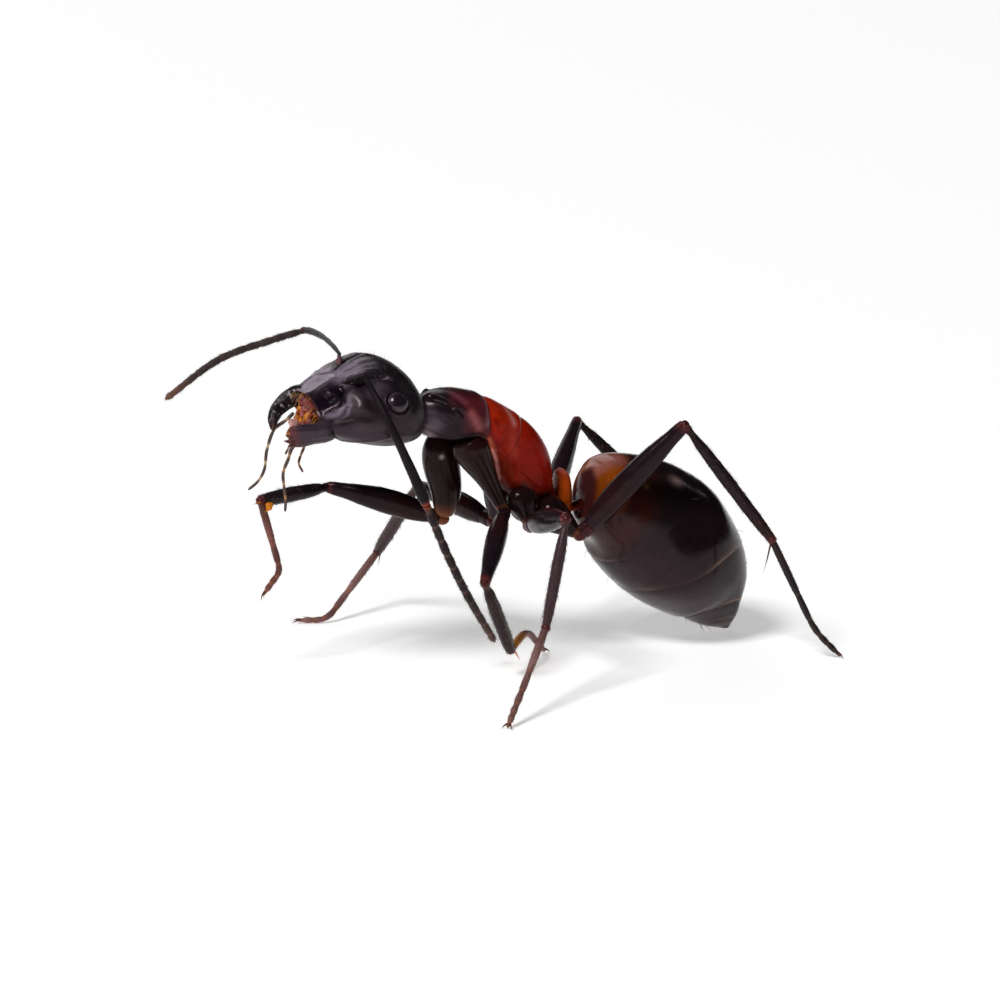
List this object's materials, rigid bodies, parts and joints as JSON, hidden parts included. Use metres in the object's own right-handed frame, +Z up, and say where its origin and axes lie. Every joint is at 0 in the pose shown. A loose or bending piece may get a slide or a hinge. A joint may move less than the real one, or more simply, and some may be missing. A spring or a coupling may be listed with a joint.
{
  "type": "ant",
  "caption": "Still life-size model of a large carpenter ant worker, walking with one front leg raised, jaws open and feelers spread.",
  "frame": {"origin": "on the floor, under the middle of the bounding box", "axes": "+Z up; the ant faces -X and its left side is towards -Y"},
  "size_m": [0.0136, 0.0106, 0.0072],
  "materials": {
    "head_shell": "satin black shell with a fine leathery grain",
    "eye": "glossy dark facetted eye",
    "maroon_shell": "glossy blackish maroon shell",
    "red_shell": "glossy deep red shell",
    "amber_shell": "glossy shell fading from amber red to black",
    "gaster_shell": "glossy brown-black shell with pale ring edges",
    "leg": "satin brown-black shell, redder at the joints",
    "feeler": "satin dark brown, finely haired",
    "foot": "reddish brown, bristly",
    "mouth": "soft orange and straw membrane"
  },
  "bodies": {
    "root": {"coxa_front_left": "leg", "coxa_front_right": "leg", "coxa_hind_left": "leg", "coxa_hind_right": "leg", "coxa_middle_left": "leg", "coxa_middle_right": "leg", "eye_left": "eye", "eye_right": "eye", "femur_front_left": "leg", "femur_front_right": "leg", "femur_hind_left": "leg", "femur_hind_right": "leg", "femur_middle_left": "leg", "femur_middle_right": "leg", "funiculus_left": "feeler", "funiculus_right": "feeler", "gaster_1": "amber_shell", "gaster_2": "gaster_shell", "gaster_3": "gaster_shell", "gaster_4": "gaster_shell", "gaster_5": "gaster_shell", "head": "head_shell", "mandible_left": "head_shell", "mandible_right": "head_shell", "mesothorax": "red_shell", "mouthparts": "mouth", "palp_left": "mouth", "palp_right": "mouth", "petiole": "amber_shell", "pronotum": "maroon_shell", "propodeum": "red_shell", "scape_left": "feeler", "scape_right": "feeler", "tarsus_front_left": "foot", "tarsus_front_right": "foot", "tarsus_hind_left": "foot", "tarsus_hind_right": "foot", "tarsus_middle_left": "foot", "tarsus_middle_right": "foot", "tibia_front_left": "leg", "tibia_front_right": "leg", "tibia_hind_left": "leg", "tibia_hind_right": "leg", "tibia_middle_left": "leg", "tibia_middle_right": "leg"}
  },
  "joints": []
}
